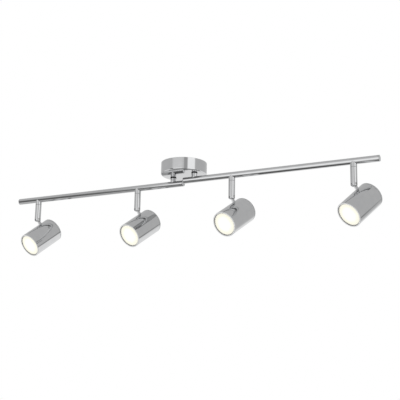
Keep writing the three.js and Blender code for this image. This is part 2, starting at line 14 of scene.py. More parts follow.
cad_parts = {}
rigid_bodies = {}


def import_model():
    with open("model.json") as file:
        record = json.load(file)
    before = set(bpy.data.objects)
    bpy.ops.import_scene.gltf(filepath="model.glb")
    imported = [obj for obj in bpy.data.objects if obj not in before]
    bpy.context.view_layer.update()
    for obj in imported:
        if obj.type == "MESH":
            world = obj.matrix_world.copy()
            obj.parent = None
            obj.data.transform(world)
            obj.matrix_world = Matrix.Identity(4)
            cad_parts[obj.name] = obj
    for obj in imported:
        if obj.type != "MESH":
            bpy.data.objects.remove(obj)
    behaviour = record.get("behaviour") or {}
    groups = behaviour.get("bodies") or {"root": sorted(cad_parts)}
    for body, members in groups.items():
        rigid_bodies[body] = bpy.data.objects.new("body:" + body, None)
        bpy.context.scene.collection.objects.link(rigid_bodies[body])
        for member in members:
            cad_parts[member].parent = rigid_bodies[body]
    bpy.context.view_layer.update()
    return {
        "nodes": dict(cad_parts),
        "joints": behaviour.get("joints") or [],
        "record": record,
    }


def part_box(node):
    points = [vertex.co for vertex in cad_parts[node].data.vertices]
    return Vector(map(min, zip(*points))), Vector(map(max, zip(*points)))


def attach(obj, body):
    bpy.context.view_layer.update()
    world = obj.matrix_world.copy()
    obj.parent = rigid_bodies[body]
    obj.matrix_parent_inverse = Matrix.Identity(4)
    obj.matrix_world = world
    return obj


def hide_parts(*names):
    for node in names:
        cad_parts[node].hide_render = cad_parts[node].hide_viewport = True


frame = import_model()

RECORD = frame["record"]
JOINTS = {joint["name"]: joint for joint in frame["joints"]}
BODY_OF = {node: body for body, nodes in RECORD["behaviour"]["bodies"].items() for node in nodes}
SLOT_OF = {part["node"]: part["material_slot"] for part in RECORD["subparts"]}

MM = 0.001
GAP = 0.3  # clearance between pieces that touch
OVERRUN = 1  # how far a cut runs past what it cuts

# sizes that a node's box doesn't tell, in millimetres; holes, bores, wells and waists are radii
CUP_WALL = 1.5
CUP_EDGE = 3
STRAP_WIDTH = 22
STRAP_THICKNESS = 2
CEILING_SLOT_OFFSET = 27
CEILING_SLOT_LENGTH = 12
CEILING_SLOT_WIDTH = 5
SIDE_SCREW_HOLE = 1.8
SIDE_SCREW_DEPTH = 7
EARTH_SCREW_HOLE = 2.3
BOLT_HOLE = 4.3
BOLT_RADIUS = 4
BOLT_BORE = 2.4
BOLT_FLANGE_HEIGHT = 1.8
BAR_WALL = 1.2
CAP_HEAD = 1.6
CAP_EDGE = 1
ARM_WALL = 1.4
ARM_EDGE = 3.6
ARM_SHOULDER = 2.5
ARM_FOOT = 17
ARM_WIRE_BORE = 2.4
LUG_WIDTH = 7
LUG_THICKNESS = 3.5
LUG_FLARE = 2.5
LUG_FOOT_THICKNESS = 1.5
HINGE_HOLE = 1.9
SCREW_HEAD_HEIGHT = 1.4
SOCKET_RADIUS = 0.95
SIDE_SOCKET_DEPTH = 1.5
DRIVER_SLOT = 1  # width and depth of the earth screw's slot
TERMINAL_WAYS = 3
TERMINAL_PITCH = 10
TERMINAL_BORE = 1.8
TERMINAL_BORE_DEPTH = 4.7
TERMINAL_WELL = 1.6
TERMINAL_WELL_OFFSET = 4
TERMINAL_WAIST = 1.1
HEAD_WALL = 1.2
HEAD_RIM = 0.5
HEAD_LIP = 1.2
REAR_CAP_SIDE = 4
REAR_CAP_EDGE = 2
LAMP_RIM = 1.4
LAMP_BARREL = 12
LAMP_NECK_RADIUS = 15
LAMP_NECK = 34
LAMP_BASE_RADIUS = 12
LAMP_BASE_STEP = 2
PIN_RADIUS = 2.2
PIN_OFFSET = 5
PIN_LENGTH = 6
LAMP_SHOULDER_SLOPE = 1.2
SADDLE_REACH = 30  # half the length of the tool that cuts the bar's space

# roundings of edges, in millimetres
FINE_EDGE = 0.15
SEAM_EDGE = 0.2
SMALL_EDGE = 0.3
PRESSED_EDGE = 0.35
TURNED_EDGE = 0.4
MOULDED_EDGE = 0.6
CERAMIC_EDGE = 0.8
WIDE_EDGE = 1

# facets round the turned pieces
FINE = 128
TUBE = 96
SMALL = 48
HEXAGON = 6

SHARP_ANGLE = 35  # degrees; edges sharper than this stay crisp
NUT_CHAMFER = math.tan(math.radians(30))  # slope of the turned-off corners

# most of a noise texture's values lie between these
NOISE_LOW = 0.3
NOISE_HIGH = 0.7

# the studio, in metres and watts
FLOOR_REACH = 8  # from its middle to each side
FLOOR_DROP = 1.8
FLOOR_LIGHT_SIZE = 3
FLOOR_LIGHT_HEIGHT = 1.5
FLOOR_LIGHT_POWER = 110


# ---------------------------------------------------------------- camera


def camera_at(place, azimuth, elevation, roll, lens):
    """A camera with no shift. Azimuth 0 looks along +Y; the roll turns it about its own axis."""
    data = bpy.data.cameras.new("camera")
    data.lens = lens
    data.sensor_width = 36
    data.clip_start = 0.05
    data.clip_end = 100
    a, e, r = (math.radians(angle) for angle in (azimuth, elevation, roll))
    back = Vector((math.sin(a) * math.cos(e), -math.cos(a) * math.cos(e), math.sin(e)))
    level = Vector((math.cos(a), math.sin(a), 0))
    upright = back.cross(level)
    right = math.cos(r) * level + math.sin(r) * upright
    up = math.cos(r) * upright - math.sin(r) * level
    camera = bpy.data.objects.new("camera", data)
    camera.matrix_world = Matrix.Translation(place) @ Matrix((right, up, back)).transposed().to_4x4()
    bpy.context.scene.collection.objects.link(camera)
    bpy.context.scene.camera = camera


# ---------------------------------------------------------------- shapes


def span(node, place):
    """Lowest and highest corner of a CAD node in a piece's own frame, in millimetres."""
    inverse = place.inverted()
    points = [inverse @ vertex.co / MM for vertex in frame["nodes"][node].data.vertices]
    low = Vector(min(point[axis] for point in points) for axis in range(3))
    high = Vector(max(point[axis] for point in points) for axis in range(3))
    return low, high


def arc(x, y, radius, start, end, steps=8):
    """Points of a round corner in an outline, between two angles in degrees."""
    angles = [math.radians(start + (end - start) * step / steps) for step in range(steps + 1)]
    return [(x + radius * math.cos(angle), y + radius * math.sin(angle)) for angle in angles]


def as_object(bm):
    """The bmesh as a linked object, with its faces turned outwards."""
    bmesh.ops.remove_doubles(bm, verts=bm.verts, dist=1e-7)
    bmesh.ops.recalc_face_normals(bm, faces=bm.faces)
    mesh = bpy.data.meshes.new("shape")
    bm.to_mesh(mesh)
    bm.free()
    shape = bpy.data.objects.new("shape", mesh)
    bpy.context.scene.collection.objects.link(shape)
    return shape


def turned(outline, sides=TUBE, ring=False):
    """A solid turned about Z from (radius, height) points. A ring's outline closes on itself."""
    bm = bmesh.new()
    rows = []
    for radius, height in outline:
        if radius < 1e-9:
            rows.append([bm.verts.new((0, 0, height * MM))])
            continue
        row = []
        for side in range(sides):
            angle = math.tau * side / sides
            point = (radius * math.cos(angle), radius * math.sin(angle), height)
            row.append(bm.verts.new(Vector(point) * MM))
        rows.append(row)
    pairs = list(zip(rows, rows[1:]))
    if ring:
        pairs.append((rows[-1], rows[0]))
    for row, other in pairs:
        for side in range(sides):
            here, there = side, (side + 1) % sides
            corners = [row[here % len(row)], row[there % len(row)]]
            corners += [other[there % len(other)], other[here % len(other)]]
            corners = list(dict.fromkeys(corners))
            if len(corners) > 2:
                bm.faces.new(corners)
    return as_object(bm)


def rod(radius, low, high, sides=SMALL, edge=0.0):
    """A round rod about Z, with its end edges rounded if an edge is given."""
    if edge:
        outline = [(0, low), *arc(radius - edge, low + edge, edge, -90, 0, 4)]
        outline += [*arc(radius - edge, high - edge, edge, 0, 90, 4), (0, high)]
    else:
        outline = [(0, low), (radius, low), (radius, high), (0, high)]
    return turned(outline, sides)


def softened(bm, edge, steps=3):
    """Rounds every edge of a bmesh where two faces meet at an angle."""
    sharp = [each for each in bm.edges if each.calc_face_angle(0) > math.radians(SHARP_ANGLE)]
    bmesh.ops.bevel(
        bm,
        geom=sharp,
        offset=edge * MM,
        segments=steps,
        profile=0.5,
        affect="EDGES",
        clamp_overlap=True,
    )


def block(low, high, edge=0.0):
    """A block from its lowest to its highest corner."""
    bm = bmesh.new()
    bmesh.ops.create_cube(bm, size=1)
    centre = (Vector(low) + Vector(high)) / 2
    size = Vector(high) - Vector(low)
    for vertex in bm.verts:
        vertex.co = Vector(centre[axis] + vertex.co[axis] * size[axis] for axis in range(3)) * MM
    if edge:
        softened(bm, edge)
    return as_object(bm)


def plate(outline, thickness, edge=0.0):
    """An outline of (x, z) points, given a thickness along Y and centred on it."""
    bm = bmesh.new()
    front = [bm.verts.new(Vector((x, -thickness / 2, z)) * MM) for x, z in outline]
    face = bm.faces.new(front)
    grown = bmesh.ops.extrude_face_region(bm, geom=[face])
    moved = [item for item in grown["geom"] if isinstance(item, bmesh.types.BMVert)]
    bmesh.ops.translate(bm, verts=moved, vec=Vector((0, thickness, 0)) * MM)
    bmesh.ops.recalc_face_normals(bm, faces=bm.faces)
    if edge:
        softened(bm, edge)
    return as_object(bm)


def baked(shape):
    """Applies the shape's modifiers."""
    graph = bpy.context.evaluated_depsgraph_get()
    mesh = bpy.data.meshes.new_from_object(shape.evaluated_get(graph))
    shape.modifiers.clear()
    shape.data = mesh
    return shape


def combined(shape, operation, others):
    """Joins the others to a shape, cuts them out of it or keeps what they share, and drops them."""
    for other in others:
        modifier = shape.modifiers.new("combine", "BOOLEAN")
        modifier.operation = operation
        modifier.solver = "EXACT"
        modifier.object = other
    baked(shape)
    for other in others:
        bpy.data.objects.remove(other)
    return shape


def cut(shape, *tools):
    return combined(shape, "DIFFERENCE", tools)


def joined(shape, *others):
    return combined(shape, "UNION", others)


def moved(shape, x=0.0, y=0.0, z=0.0, about="Z", degrees=0.0):
    """Turns a shape about an axis through its origin and then moves it, in its mesh."""
    turn = Matrix.Rotation(math.radians(degrees), 4, about)
    shape.data.transform(Matrix.Translation(Vector((x, y, z)) * MM) @ turn)
    return shape


def along_x(shape):
    return moved(shape, about="Y", degrees=90)


def along_y(shape):
    return moved(shape, about="X", degrees=-90)


def exact_walls(mesh, axis):
    """Gives the faces of round walls about an axis the normals of a true cylinder."""
    normals = [normal.vector.copy() for normal in mesh.corner_normals]
    for face in mesh.polygons:
        if abs(face.normal[axis]) > 0.01:
            continue
        radials = []
        for index in face.vertices:
            radial = mesh.vertices[index].co.copy()
            radial[axis] = 0
            radials.append(radial)
        lengths = [radial.length for radial in radials]
        if max(lengths) - min(lengths) > 1e-6 or min(lengths) < 1e-5:
            continue
        side = 1 if face.normal.dot(radials[0]) > 0 else -1
        if all(side * face.normal.dot(radial.normalized()) > 0.99 for radial in radials):
            for corner, radial in zip(face.loop_indices, radials):
                normals[corner] = side * radial.normalized()
    mesh.normals_split_custom_set(normals)


def finished(node, shape, place, round_about=None):
    """Puts a shape at its place as the visible piece of a CAD node. The shape can be used again."""
    mesh = shape.data
    if "smoothed" not in shape:
        for face in mesh.polygons:
            face.use_smooth = True
        mesh.set_sharp_from_angle(angle=math.radians(SHARP_ANGLE))
        weighted = shape.modifiers.new("weighted", "WEIGHTED_NORMAL")
        weighted.weight = 100
        weighted.keep_sharp = True
        mesh = baked(shape).data
        if round_about is not None:
            exact_walls(mesh, round_about)
        shape["smoothed"] = True
    piece = bpy.data.objects.new(node + "_finished", mesh)
    piece.matrix_world = place
    bpy.context.scene.collection.objects.link(piece)
    slot = SLOT_OF[node]
    if not mesh.materials:
        mesh.materials.append(MATERIALS[slot])
    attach(piece, BODY_OF[node])
    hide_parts(node)
    return piece


def discard(*shapes):
    for shape in shapes:
        bpy.data.objects.remove(shape)


# ---------------------------------------------------------------- materials


def new_material(name, color, roughness, metallic=0.0):
    """A new material, its node tree and its main shader."""
    material = bpy.data.materials.new(name)
    material.use_nodes = True
    tree = material.node_tree
    shader = tree.nodes["Principled BSDF"]
    shader.inputs["Base Color"].default_value = (*color, 1)
    shader.inputs["Roughness"].default_value = roughness
    shader.inputs["Metallic"].default_value = metallic
    return material, tree, shader


def place_of(tree, stretch=(1, 1, 1)):
    """The piece's own coordinates, in metres, stretched along its axes."""
    coordinates = tree.nodes.new("ShaderNodeTexCoord")
    mapping = tree.nodes.new("ShaderNodeMapping")
    mapping.inputs["Scale"].default_value = stretch
    tree.links.new(coordinates.outputs["Object"], mapping.inputs["Vector"])
    return mapping.outputs["Vector"]


def noise(tree, place, scale, detail=3.0, roughness=0.55):
    """A noise texture's grey value."""
    texture = tree.nodes.new("ShaderNodeTexNoise")
    texture.inputs["Scale"].default_value = scale
    texture.inputs["Detail"].default_value = detail
    texture.inputs["Roughness"].default_value = roughness
    tree.links.new(place, texture.inputs["Vector"])
    return texture.outputs["Fac"]


def ranged(tree, value, low, high, start=NOISE_LOW, end=NOISE_HIGH):
    """A value from a texture, spread between two numbers."""
    spread = tree.nodes.new("ShaderNodeMapRange")
    spread.inputs["From Min"].default_value = start
    spread.inputs["From Max"].default_value = end
    spread.inputs["To Min"].default_value = low
    spread.inputs["To Max"].default_value = high
    tree.links.new(value, spread.inputs["Value"])
    return spread.outputs["Result"]


def tinted(tree, value, first, second):
    """A colour that goes from the first to the second with a texture's value."""
    ramp = tree.nodes.new("ShaderNodeValToRGB")
    ramp.color_ramp.elements[0].color = (*first, 1)
    ramp.color_ramp.elements[0].position = NOISE_LOW
    ramp.color_ramp.elements[1].color = (*second, 1)
    ramp.color_ramp.elements[1].position = NOISE_HIGH
    tree.links.new(value, ramp.inputs["Fac"])
    return ramp.outputs["Color"]


def bumped(tree, shader, height, distance, strength):
    """Roughens a shader's surface with a texture's value."""
    bump = tree.nodes.new("ShaderNodeBump")
    bump.inputs["Distance"].default_value = distance
    bump.inputs["Strength"].default_value = strength
    tree.links.new(height, bump.inputs["Height"])
    tree.links.new(bump.outputs["Normal"], shader.inputs["Normal"])


def chrome():
    """Polished chrome plate: a mirror with faint wiping marks and cloudy patches of polish."""
    material, tree, shader = new_material("polished_chrome", (0.62, 0.625, 0.63), 0.05, 1.0)
    clouds = noise(tree, place_of(tree), scale=70, detail=4)
    tree.links.new(ranged(tree, clouds, 0.035, 0.075), shader.inputs["Roughness"])
    plate_tint = tinted(tree, clouds, (0.60, 0.605, 0.612), (0.64, 0.643, 0.648))
    tree.links.new(plate_tint, shader.inputs["Base Color"])
    ripple = noise(tree, place_of(tree), scale=160, detail=1)
    bumped(tree, shader, ripple, distance=0.00002, strength=0.25)
    return material


def zinc():
    """Bright zinc plate: a dull metal with fine mottling."""
    material, tree, shader = new_material("zinc_steel", (0.56, 0.56, 0.55), 0.35, 1.0)
    mottle = noise(tree, place_of(tree), scale=450, detail=5)
    tree.links.new(ranged(tree, mottle, 0.26, 0.46), shader.inputs["Roughness"])
    plate_tint = tinted(tree, mottle, (0.46, 0.465, 0.46), (0.64, 0.64, 0.62))
    tree.links.new(plate_tint, shader.inputs["Base Color"])
    grain = noise(tree, place_of(tree), scale=2500, detail=2)
    bumped(tree, shader, grain, distance=0.00003, strength=0.5)
    return material


def brass():
    """Turned brass with fine tool marks."""
    material, tree, shader = new_material("brass_screw", (0.66, 0.48, 0.21), 0.3, 1.0)
    marks = noise(tree, place_of(tree, (1, 1, 12)), scale=700, detail=4)
    tree.links.new(ranged(tree, marks, 0.22, 0.4), shader.inputs["Roughness"])
    brass_tint = tinted(tree, marks, (0.56, 0.40, 0.17), (0.72, 0.54, 0.26))
    tree.links.new(brass_tint, shader.inputs["Base Color"])
    bumped(tree, shader, marks, distance=0.00003, strength=0.4)
    return material


def black_nylon():
    """Moulded black nylon with a fine grain."""
    material, tree, shader = new_material("black_nylon", (0.012, 0.012, 0.013), 0.5)
    grain = noise(tree, place_of(tree), scale=1800, detail=4)
    tree.links.new(ranged(tree, grain, 0.42, 0.62), shader.inputs["Roughness"])
    nylon_tint = tinted(tree, grain, (0.009, 0.009, 0.01), (0.02, 0.02, 0.021))
    tree.links.new(nylon_tint, shader.inputs["Base Color"])
    bumped(tree, shader, grain, distance=0.00004, strength=0.6)
    return material


def white_plastic():
    """Moulded white plastic, faintly uneven, with a fine grain."""
    material, tree, shader = new_material("white_plastic", (0.8, 0.79, 0.76), 0.4)
    uneven = noise(tree, place_of(tree), scale=160, detail=4)
    tree.links.new(ranged(tree, uneven, 0.32, 0.48), shader.inputs["Roughness"])
    plastic_tint = tinted(tree, uneven, (0.74, 0.73, 0.69), (0.82, 0.81, 0.79))
    tree.links.new(plastic_tint, shader.inputs["Base Color"])
    grain = noise(tree, place_of(tree), scale=2200, detail=2)
    bumped(tree, shader, grain, distance=0.00003, strength=0.4)
    return material


def ceramic():
    """White lampholder ceramic: matt, with pores and a few darker specks."""
    material, tree, shader = new_material("white_ceramic", (0.82, 0.8, 0.74), 0.6)
    specks = noise(tree, place_of(tree), scale=900, detail=6, roughness=0.7)
    tree.links.new(ranged(tree, specks, 0.5, 0.72), shader.inputs["Roughness"])
    ceramic_tint = tinted(tree, specks, (0.68, 0.65, 0.58), (0.84, 0.82, 0.77))
    tree.links.new(ceramic_tint, shader.inputs["Base Color"])
    bumped(tree, shader, specks, distance=0.0001, strength=0.5)
    return material


def frosted_lens(radius):
    """A lit frosted lens: brightest over the middle of the lamp, warmer towards its edge."""
    material, tree, shader = new_material("frosted_lens", (0.25, 0.24, 0.21), 0.45)
    frost = noise(tree, place_of(tree), scale=1500, detail=4)
    clouds = noise(tree, place_of(tree), scale=90, detail=3)
    from_axis = tree.nodes.new("ShaderNodeVectorMath")
    from_axis.operation = "LENGTH"
    tree.links.new(place_of(tree, (0, 1, 1)), from_axis.inputs[0])
    edge = radius * MM
    glow = ranged(tree, from_axis.outputs["Value"], 1, 0, start=0.45 * edge, end=edge)
    mottled = arithmetic(tree, "MULTIPLY", glow, ranged(tree, clouds, 0.75, 1.0))
    light_tint = tinted(tree, mottled, (0.95, 0.93, 0.79), (1.0, 0.985, 0.93))
    tree.links.new(light_tint, shader.inputs["Emission Color"])
    brightness = ranged(tree, mottled, 0.78, 0.93, start=0, end=1)
    tree.links.new(brightness, shader.inputs["Emission Strength"])
    tree.links.new(ranged(tree, frost, 0.38, 0.55), shader.inputs["Roughness"])
    bumped(tree, shader, frost, distance=0.00005, strength=0.5)
    return material


# ---------------------------------------------------------------- ceiling cup and what it holds


def ring_outline(bore, radius, low, high, edge):
    """A turned ring's outline with its outer edges rounded."""
    return [
        (bore, low),
        *arc(radius - edge, low + edge, edge, -90, 0, 5),
        *arc(radius - edge, high - edge, edge, 0, 90, 5),
        (bore, high),
    ]


def ceiling_cup(strap):
    """The cup, with a hole for each stem bolt and each side screw."""
    world = Matrix.Identity(4)
    low, high = span("canopy_cup", world)
    radius, floor = high.x, low.z
    inside = radius - CUP_WALL
    inner_edge = CUP_EDGE - CUP_WALL
    brim = TURNED_EDGE
    shape = turned(
        [
            (0, floor),
            *arc(radius - CUP_EDGE, floor + CUP_EDGE, CUP_EDGE, -90, 0, 12),
            *arc(radius - brim, -brim, brim, 0, 90, 4),
            *arc(inside + brim, -brim, brim, 90, 180, 4),
            *arc(inside - inner_edge, floor + CUP_WALL + inner_edge, inner_edge, 0, -90, 8),
            (0, floor + CUP_WALL),
        ],
        FINE * 2,
    )
    holes = []
    for side in ("left", "right"):
        stem = Vector(JOINTS[f"bar_{side}_swivel"]["pos_m"]) / MM
        hole = rod(BOLT_HOLE, floor - OVERRUN, floor + CUP_WALL + OVERRUN)
        holes.append(moved(hole, stem.x, stem.y))
    screws = along_x(rod(SIDE_SCREW_HOLE, -radius - OVERRUN, radius + OVERRUN))
    screws.data.transform(strap @ Matrix.Translation((0, 0, -SIDE_SCREW_DEPTH * MM)))
    finished("canopy_cup", cut(shape, *holes, screws), world, round_about=2)
    discard(shape)


def mounting_strap(strap):
    """The strap, with ends bent down, slots for the ceiling screws and a screw hole in each ear."""
    low, high = span("mounting_strap", strap)
    reach = high.x
    thick = STRAP_THICKNESS
    inner = reach - thick
    right = [(inner, -thick), (inner, low.z), (reach, low.z), *arc(inner, -thick, thick, 0, 90)]
    outline = right + [(-x, z) for x, z in reversed(right)]
    shape = plate(outline, STRAP_WIDTH, PRESSED_EDGE)
    straight = (CEILING_SLOT_LENGTH - CEILING_SLOT_WIDTH) / 2
    half = CEILING_SLOT_WIDTH / 2
    tools = [along_x(rod(SIDE_SCREW_HOLE, -reach - OVERRUN, reach + OVERRUN))]
    moved(tools[0], z=-SIDE_SCREW_DEPTH)
    for side in (-1, 1):
        slot = block((-straight, -half, -thick - OVERRUN), (straight, half, OVERRUN))
        ends = [moved(rod(half, -thick - OVERRUN, OVERRUN), x=x) for x in (-straight, straight)]
        tools.append(moved(joined(slot, *ends), x=side * CEILING_SLOT_OFFSET))
    screw_low, screw_high = span("earth_screw", strap)
    earth = (screw_low + screw_high) / 2
    tools.append(moved(rod(EARTH_SCREW_HOLE, -thick - OVERRUN, OVERRUN), earth.x, earth.y))
    finished("mounting_strap", cut(shape, *tools), strap)
    discard(shape)


def side_screws(strap):
    """Headless screws along X with a hexagon socket in the outer end."""
    for side, turn in (("right", 0), ("left", 180)):
        place = strap @ Matrix.Rotation(math.radians(turn), 4, "Z")
        low, high = span(f"canopy_screw_{side}", place)
        radius = (high.z - low.z) / 2
        axis = (high.z + low.z) / 2
        shank = rod(radius, low.x, high.x, SMALL, SMALL_EDGE)
        socket = rod(SOCKET_RADIUS, high.x - SIDE_SOCKET_DEPTH, high.x + OVERRUN, HEXAGON)
        shape = moved(along_x(cut(shank, socket)), z=axis)
        finished(f"canopy_screw_{side}", shape, place)
        discard(shape)


def earth_screw(strap):
    """A slotted cheese-head screw that points up into the strap."""
    low, high = span("earth_screw", strap)
    centre = (low + high) / 2
    head = (high.x - low.x) / 2
    shank = EARTH_SCREW_HOLE - GAP
    head_top = -STRAP_THICKNESS - GAP
    shape = turned(
        [
            (0, low.z),
            *arc(head - WIDE_EDGE, low.z + WIDE_EDGE, WIDE_EDGE, -90, 0),
            (head, head_top),
            (shank, head_top),
            (shank, high.z - SMALL_EDGE),
            (shank - SMALL_EDGE, high.z),
            (0, high.z),
        ],
        SMALL,
    )
    reach = head + OVERRUN
    half = DRIVER_SLOT / 2
    slot = block((-reach, -half, low.z - OVERRUN), (reach, half, low.z + DRIVER_SLOT))
    place = strap @ Matrix.Translation(Vector((centre.x, centre.y, 0)) * MM)
    finished("earth_screw", cut(shape, slot), place)
    discard(shape)


def terminal_block(strap):
    """A three-way terminal block, with wire bores, screw wells and waists between its ways."""
    low, high = span("terminal_block", strap)
    bore_height = high.z - TERMINAL_BORE_DEPTH
    shape = block(low, high, MOULDED_EDGE)
    tools = []
    for way in range(TERMINAL_WAYS):
        x = (way - (TERMINAL_WAYS - 1) / 2) * TERMINAL_PITCH
        bore = along_y(rod(TERMINAL_BORE, -high.y - OVERRUN, high.y + OVERRUN))
        tools.append(moved(bore, x, 0, bore_height))
        for y in (-TERMINAL_WELL_OFFSET, TERMINAL_WELL_OFFSET):
            tools.append(moved(rod(TERMINAL_WELL, low.z - OVERRUN, bore_height), x, y))
    for x in (-TERMINAL_PITCH / 2, TERMINAL_PITCH / 2):
        for y in (low.y, high.y):
            tools.append(moved(rod(TERMINAL_WAIST, low.z - OVERRUN, high.z + OVERRUN), x, y))
    finished("terminal_block", cut(shape, *tools), strap)
    discard(shape)


def stem_washers():
    """The black washers between the cup and the stems."""
    for side in ("left", "right"):
        stem = Vector(JOINTS[f"bar_{side}_swivel"]["pos_m"])
        place = Matrix.Translation((stem.x, stem.y, 0))
        low, high = span(f"stem_washer_{side}", place)
        shape = turned(ring_outline(BOLT_HOLE, high.x, low.z, high.z, TURNED_EDGE), TUBE, ring=True)
        finished(f"stem_washer_{side}", shape, place, round_about=2)
        discard(shape)


# ---------------------------------------------------------------- bars, stems and bolts


def saddle(bar_radius):
    """The space of the bar along X, with clearance, cut out of what is seated on it."""
    return along_x(rod(bar_radius + GAP, -SADDLE_REACH, SADDLE_REACH, TUBE))


def hollow_bolt(low, high, flange_low, flange):
    """A hollow bolt along Z, between two heights, with its flange on it."""
    flange_high = flange_low + BOLT_FLANGE_HEIGHT
    return turned(
        [
            (BOLT_BORE, low),
            *arc(flange - SMALL_EDGE, flange_low + SMALL_EDGE, SMALL_EDGE, -90, 0, 4),
            *arc(flange - SMALL_EDGE, flange_high - SMALL_EDGE, SMALL_EDGE, 0, 90, 4),
            (BOLT_RADIUS, flange_high),
            (BOLT_RADIUS, high - TURNED_EDGE),
            (BOLT_RADIUS - TURNED_EDGE, high),
            (BOLT_BORE, high),
        ],
        SMALL,
        ring=True,
    )


def lock_nut(low, high, corner):
    """A hexagon nut with the corners of both faces turned off."""
    flats = corner * math.sqrt(3) / 2
    shape = rod(corner, low, high, HEXAGON)
    slope = (corner - flats + OVERRUN) * NUT_CHAMFER
    chamfer = turned(
        [
            (0, low),
            (flats, low),
            (corner + OVERRUN, low + slope),
            (corner + OVERRUN, high - slope),
            (flats, high),
            (0, high),
        ],
        SMALL,
    )
    combined(shape, "INTERSECT", [chamfer])
    return cut(shape, rod(BOLT_HOLE, low - OVERRUN, high + OVERRUN))


def bar_half(side):
    """One bar about its own axis, with its caps, stem, stem bolt and nut."""
    stem = Vector(JOINTS[f"bar_{side}_swivel"]["pos_m"])
    turn = 180 if side == "left" else 0
    place = Matrix.Translation((0, stem.y, stem.z)) @ Matrix.Rotation(math.radians(turn), 4, "Z")
    stem_x = abs(stem.x) / MM
    low, high = span(f"bar_tube_{side}", place)
    radius, inside = high.z, high.z - BAR_WALL
    tube_outline = ring_outline(inside, radius, low.x, high.x, FINE_EDGE)
    tube = along_x(turned(tube_outline, TUBE, ring=True))
    holes = [moved(rod(BOLT_HOLE, 0, radius + OVERRUN), x=stem_x)]
    for name in arms_of(side):
        arm = Vector(JOINTS[f"arm_{name}_pan"]["pos_m"])
        holes.append(moved(rod(BOLT_HOLE, -radius - OVERRUN, 0), x=abs(arm.x) / MM))
    finished(f"bar_tube_{side}", cut(tube, *holes), place, round_about=0)
    discard(tube)

    for end, facing in (("outer", 0), ("inner", 180)):
        cap_place = place @ Matrix.Rotation(math.radians(facing), 4, "Z")
        low, high = span(f"bar_{end}_cap_{side}", cap_place)
        shoulder = high.x - CAP_HEAD
        plug = inside - GAP
        cap = along_x(
            turned(
                [
                    (0, low.x),
                    *arc(plug - SMALL_EDGE, low.x + SMALL_EDGE, SMALL_EDGE, -90, 0, 3),
                    (plug, shoulder),
                    (radius - FINE_EDGE, shoulder),
                    (radius, shoulder + FINE_EDGE),
                    *arc(radius - CAP_EDGE, high.x - CAP_EDGE, CAP_EDGE, 0, 90),
                    (0, high.x),
                ],
                TUBE,
            )
        )
        finished(f"bar_{end}_cap_{side}", cap, cap_place, round_about=0)
        discard(cap)

    stem_place = place @ Matrix.Translation((stem_x * MM, 0, 0))
    _, high = span(f"stem_collar_{side}", stem_place)
    collar = turned(ring_outline(BOLT_HOLE, high.x, 0, high.z, SMALL_EDGE), TUBE, ring=True)
    cut(collar, saddle(radius))
    finished(f"stem_collar_{side}", collar, stem_place, round_about=2)
    low, high = span(f"stem_bolt_{side}", stem_place)
    bolt = hollow_bolt(low.z, high.z, low.z, high.x)
    finished(f"stem_bolt_{side}", bolt, stem_place, round_about=2)
    low, high = span(f"stem_nut_{side}", stem_place)
    nut = lock_nut(low.z, high.z, high.x)
    finished(f"stem_nut_{side}", nut, stem_place)
    discard(collar, bolt, nut)


# ---------------------------------------------------------------- arms and heads


def arms_of(side):
    """The names of the arms that a bar carries."""
    return [name.split("_")[1] for name, joint in JOINTS.items() if joint["parent"] == f"bar_{side}"]


def arm_place(name):
    """An arm's own frame: its origin is on the bar's axis, and its hinge axis is along Y."""
    bar = JOINTS["bar_left_swivel"]["pos_m"]
    hinge = JOINTS[f"head_{name}_tilt"]
    x, y, _ = hinge["pos_m"]
    across = Vector(hinge["axis"])
    ahead = across.cross(Vector((0, 0, 1)))
    turn = Matrix((ahead, across, Vector((0, 0, 1)))).transposed().to_4x4()
    return Matrix.Translation((x, y, bar[2])) @ turn


def middle(node):
    """The middle of a node's distinct corners, which is on the axis of a turned piece."""
    corners = {tuple(round(c, 6) for c in vertex.co) for vertex in frame["nodes"][node].data.vertices}
    return sum((Vector(corner) for corner in corners), Vector()) / len(corners)


def head_place(name):
    """A head's own frame: X is where it shines, Y is its hinge axis, and the origin is the hinge."""
    hinge = JOINTS[f"head_{name}_tilt"]
    across = Vector(hinge["axis"])
    ahead = middle(f"lamp_lens_{name}") - middle(f"head_rear_cap_{name}")
    ahead = (ahead - ahead.dot(across) * across).normalized()
    up = ahead.cross(across)
    turn = Matrix((ahead, across, up)).transposed().to_4x4()
    return Matrix.Translation(hinge["pos_m"]) @ turn


def can_place(name):
    """A head's own frame moved from the hinge to the can's axis."""
    place = head_place(name)
    low, high = span(f"head_rear_cap_{name}", place)
    return place @ Matrix.Translation((0, 0, (low.z + high.z) / 2 * MM))


def lug_eye(name):
    """The radius of the lug's round eye about the hinge."""
    _, high = span(f"hinge_lug_{name}", head_place(name))
    return high.z


